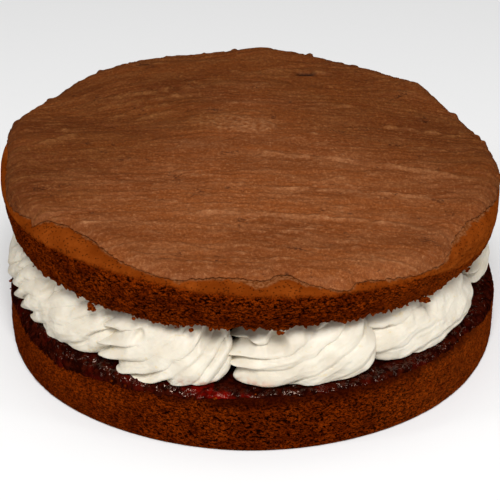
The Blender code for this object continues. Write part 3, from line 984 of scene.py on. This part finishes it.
def top_sponge_finish():
    look = Finish("chocolate crumb and baked skin")
    crust = look.attribute("crust")
    body, crumb_relief = crumb_colour(look, 0.0)
    body = look.mix(look.times(look.attribute("tip"), 0.7), body, (138, 56, 8))
    tone = look.noise(13, 3, 0.55)
    baked = look.tones(tone, 0.35, 0.65, (104, 43, 6), (125, 57, 13))
    cloud = look.noise(1.0, 3, 0.6)
    baked = look.tones(cloud, 0.35, 0.70, baked, (96, 38, 4), 0.35)
    specks = look.holes(1.15)
    many = look.between(look.noise(5, 2, 0.5), 0.38, 0.62, 0.20, 0.36)
    pinhole = look.between(look.sums("SUBTRACT", many, specks), -0.04, 0.05)
    baked = look.mix(look.times(pinhole, 0.60), baked, (56, 20, 3))
    drag = look.noise(1.0, 4, 0.6, (0.3, 0.3, 1))
    rubbed = look.tones(drag, 0.42, 0.60, (78, 30, 5), (128, 62, 17))
    baked = look.mix(look.times(look.attribute("scuff"), 0.8), baked, rubbed)
    thin_icing = look.tones(cloud, 0.40, 0.60, (96, 52, 22), (134, 84, 50))
    baked = look.mix(look.times(look.attribute("smear"), 0.8), baked, thin_icing)
    baked_relief = look.bump(cloud, 0.12, look.bump(look.between(specks, 0.08, 0.22), 0.25))
    sides = {0: crust, 4: crumb_relief, 5: baked_relief}
    relief = look.node("Mix", 1, sides, data_type="VECTOR")
    colour = look.mix(crust, body, baked)
    return look.shade(Base_Color=colour, Roughness=0.8, Specular_IOR_Level=0.0, Normal=relief)


def crumb_bits_finish():
    look = Finish("loose chocolate crumbs")
    colour = look.tones(look.noise(0.8, 3, 0.6), 0.35, 0.65, (60, 16, 1), (128, 52, 8))
    return look.shade(Base_Color=colour, Roughness=0.95, Specular_IOR_Level=0.0)


def jam_finish():
    look = Finish("dark berry jam")
    body = look.tones(look.noise(2.5, 3, 0.6), 0.40, 0.62, (24, 3, 1), (50, 11, 3))
    clear = look.attribute("clear")
    thin = look.times(look.between(look.noise(9, 3, 0.6), 0.50, 0.66), clear)
    # away from the rim the jam has sunk into the crumb and doesn't shine
    pools = look.between(look.noise(2.2, 2, 0.5, (1, 1, 0.4)), 0.42, 0.54)
    wet = look.times(look.attribute("rim"), pools)
    wet = look.times(wet, look.between(clear, 0.2, 1.0, 1.0, 0.55))
    # this value stands on the socket for where the linked one is dropped
    look.shade(IOR=1.30, Specular_Tint=(1.0, 0.72, 0.58, 1.0))
    look.shade(IOR=look.between(wet, 0.0, 1.0, 1.02, 1.50))
    return look.shade(
        Base_Color=look.mix(thin, body, (104, 5, 1)),
        Roughness=look.between(wet, 0.0, 0.5, 0.55, 0.12),
        Normal=look.bump(look.noise(1.9, 2, 0.5, (1, 1, 0.35)), 1.1),
    )


def cream_finish():
    look = Finish("whipped cream")
    colour = look.tones(look.noise(11, 3, 0.5), 0.3, 0.7, (209, 199, 180), (223, 215, 198))
    butter = look.noise(4.5, 3, 0.65, (1, 1, 2.0))
    colour = look.tones(butter, 0.60, 0.72, colour, (214, 194, 146), 0.60)
    # the jam has stained the cream's foot near the middle of the front
    low = look.between(look.axis("Z"), JAM_TOP + 4.5 * MM, JAM_TOP)
    aside = look.sums("ABSOLUTE", look.plus(look.axis("X"), 9 * MM))
    stain = look.between(look.noise(6, 3, 0.6), 0.50, 0.62, 0.0, 0.6)
    stain = look.times(stain, look.between(aside, 26 * MM, 10 * MM))
    colour = look.mix(look.times(low, stain), colour, (196, 128, 100))
    fine = look.noise(0.8, 3, 0.55)
    lines = look.noise(0.9, 2, 0.5, (0.12, 1, 1), along="piping")
    look.shade(Subsurface_Weight=0.2, Subsurface_Radius=(1.6 * MM, 1.1 * MM, 0.7 * MM))
    look.shade(Base_Color=colour, Normal=look.bump(lines, 0.16, look.bump(fine, 0.09)))
    return look.shade(Roughness=0.42, Specular_IOR_Level=0.30)


def icing_finish():
    look = Finish("spread chocolate icing")
    long_strokes = (0.35, 1, 1)
    tone = look.noise(18, 4, 0.6, (0.4, 1, 1))
    streak = look.noise(0.8, 4, 0.65, long_strokes, along="stroke")
    short = look.noise(1.4, 4, 0.65, (0.6, 1, 1), along="stroke")
    grain = look.noise(0.95, 4, 0.80, (1.0, 0.7, 1.0))
    greyer = look.noise(9, 4, 0.65, long_strokes, along="stroke")
    base = look.tones(tone, 0.35, 0.65, (101, 49, 16), (119, 61, 24))
    base = look.tones(greyer, 0.42, 0.66, base, (122, 71, 40), 0.7)
    base = look.tones(grain, 0.44, 0.58, base, (82, 35, 9), 0.45)
    # painted sheen: the pale crests and streaks, with the icing's own paler specks, are mixed towards a
    # paler brown
    light = look.plus(look.attribute("pale"), look.between(streak, 0.50, 0.72, 0.0, 0.30))
    light = look.plus(light, look.between(grain, 0.46, 0.34, 0.0, 0.46))
    light = look.times(light, look.between(short, 0.34, 0.62, 0.15, 1.0))
    colour = look.mix(light, base, (157, 107, 74))
    # fine cracks along the strokes, in a few places
    crack = look.noise(3.2, 3, 0.55, long_strokes, along="stroke")
    off_crack = look.sums("ABSOLUTE", look.sums("SUBTRACT", crack, 0.5))
    where = look.between(look.noise(10, 2, 0.5), 0.60, 0.68, 0.0, 0.8)
    crack = look.times(look.between(off_crack, 0.016, 0.004), where)
    colour = look.mix(crack, colour, (58, 24, 8))
    # painted shade in the slit, and the icing's own small dark spots in the pits
    colour = look.mix(look.attribute("dark"), colour, (36, 12, 4))
    # painted light: the icing is painted lighter and greyer at the front and middle, and darker towards the
    # back and the sides
    x = look.axis("X")
    aside = look.times(look.sums("ABSOLUTE", x), 1.10)
    aside = look.sums("SUBTRACT", aside, look.times(x, 0.22))
    back = look.plus(look.axis("Y"), look.between(tone, 0.3, 0.7, -18 * MM, 18 * MM))
    painted_falloff = look.between(look.plus(back, aside), 5 * MM, 88 * MM)
    shade = look.mix(painted_falloff, (1.29, 1.32, 1.17, 1.0), (0.83, 0.77, 0.45, 1.0))
    colour = look.mix(1.0, colour, shade, "MULTIPLY")
    relief = look.bump(grain, 0.36, look.bump(streak, 0.32, look.bump(short, 0.36)))
    relief = look.bump(look.sums("SUBTRACT", 1.0, crack), 0.2, relief)
    return look.shade(Base_Color=colour, Roughness=0.55, Specular_IOR_Level=0.12, Normal=relief)


# ---------- studio


def aim_at(thing, target):
    away = Vector(target) - thing.location
    thing.rotation_euler = away.to_track_quat("-Z", "Y").to_euler()


def soft_light(name, place, size, power):
    lamp = bpy.data.lights.new(name, "AREA")
    lamp.shape = "DISK"
    lamp.size = size
    lamp.energy = power
    light = bpy.data.objects.new(name, lamp)
    bpy.context.scene.collection.objects.link(light)
    light.location = place
    aim_at(light, (0, 0, 0.04))


def build_studio():
    scene = bpy.context.scene
    clear_selection()
    bpy.ops.mesh.primitive_plane_add(size=6)
    floor = bpy.context.object
    floor.name = "studio_floor"
    paper = Finish("pale studio paper")
    floor.data.materials.append(paper.shade(Roughness=0.9, Base_Color=linear(240, 240, 240)))
    floor.visible_glossy = False

    soft_light("key", (0.03, -0.98, 1.22), 0.60, 20.2)
    soft_light("left glint", (-0.80, -0.30, 0.55), 0.14, 0.8)
    soft_light("right glint", (0.80, -0.34, 0.55), 0.14, 0.8)
    world = bpy.data.worlds.new("studio")
    world.use_nodes = True
    background = world.node_tree.nodes["Background"]
    background.inputs["Color"].default_value = (1, 1, 1, 1)
    background.inputs["Strength"].default_value = 0.44
    world.cycles_visibility.glossy = False
    scene.world = world
    scene.view_settings.view_transform = "Standard"

    lens = bpy.data.cameras.new("camera")
    lens.lens = 129.45
    lens.sensor_width = 36
    camera = bpy.data.objects.new("camera", lens)
    scene.collection.objects.link(camera)
    camera.location = (0, -0.6513, 0.3881)
    aim_at(camera, (-0.0002, 0, 0.0306))
    scene.camera = camera


# ---------- the cake


def dress_cake():
    finish_piece(bake_bottom_sponge(), bottom_sponge_finish(), "sponge", "bottom_sponge")
    finish_piece(bake_top_sponge(), top_sponge_finish(), "sponge", "top_sponge")
    finish_piece(spread_jam(), jam_finish(), "jam", "jam_layer")
    finish_piece(spread_icing(), icing_finish(), "icing", "chocolate_icing")
    finish_piece(scatter_crumbs(), crumb_bits_finish(), "sponge")
    cream = cream_finish()
    for i, rosette in enumerate(ROSETTES):
        finish_piece(pipe_rosette(i + 1, rosette, 7 * i + 1), cream, "cream", f"cream_swirl_{i + 1:02d}")
    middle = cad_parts["cream_middle"]
    middle.data.materials.clear()
    middle.data.materials.append(cream)


build_studio()
dress_cake()
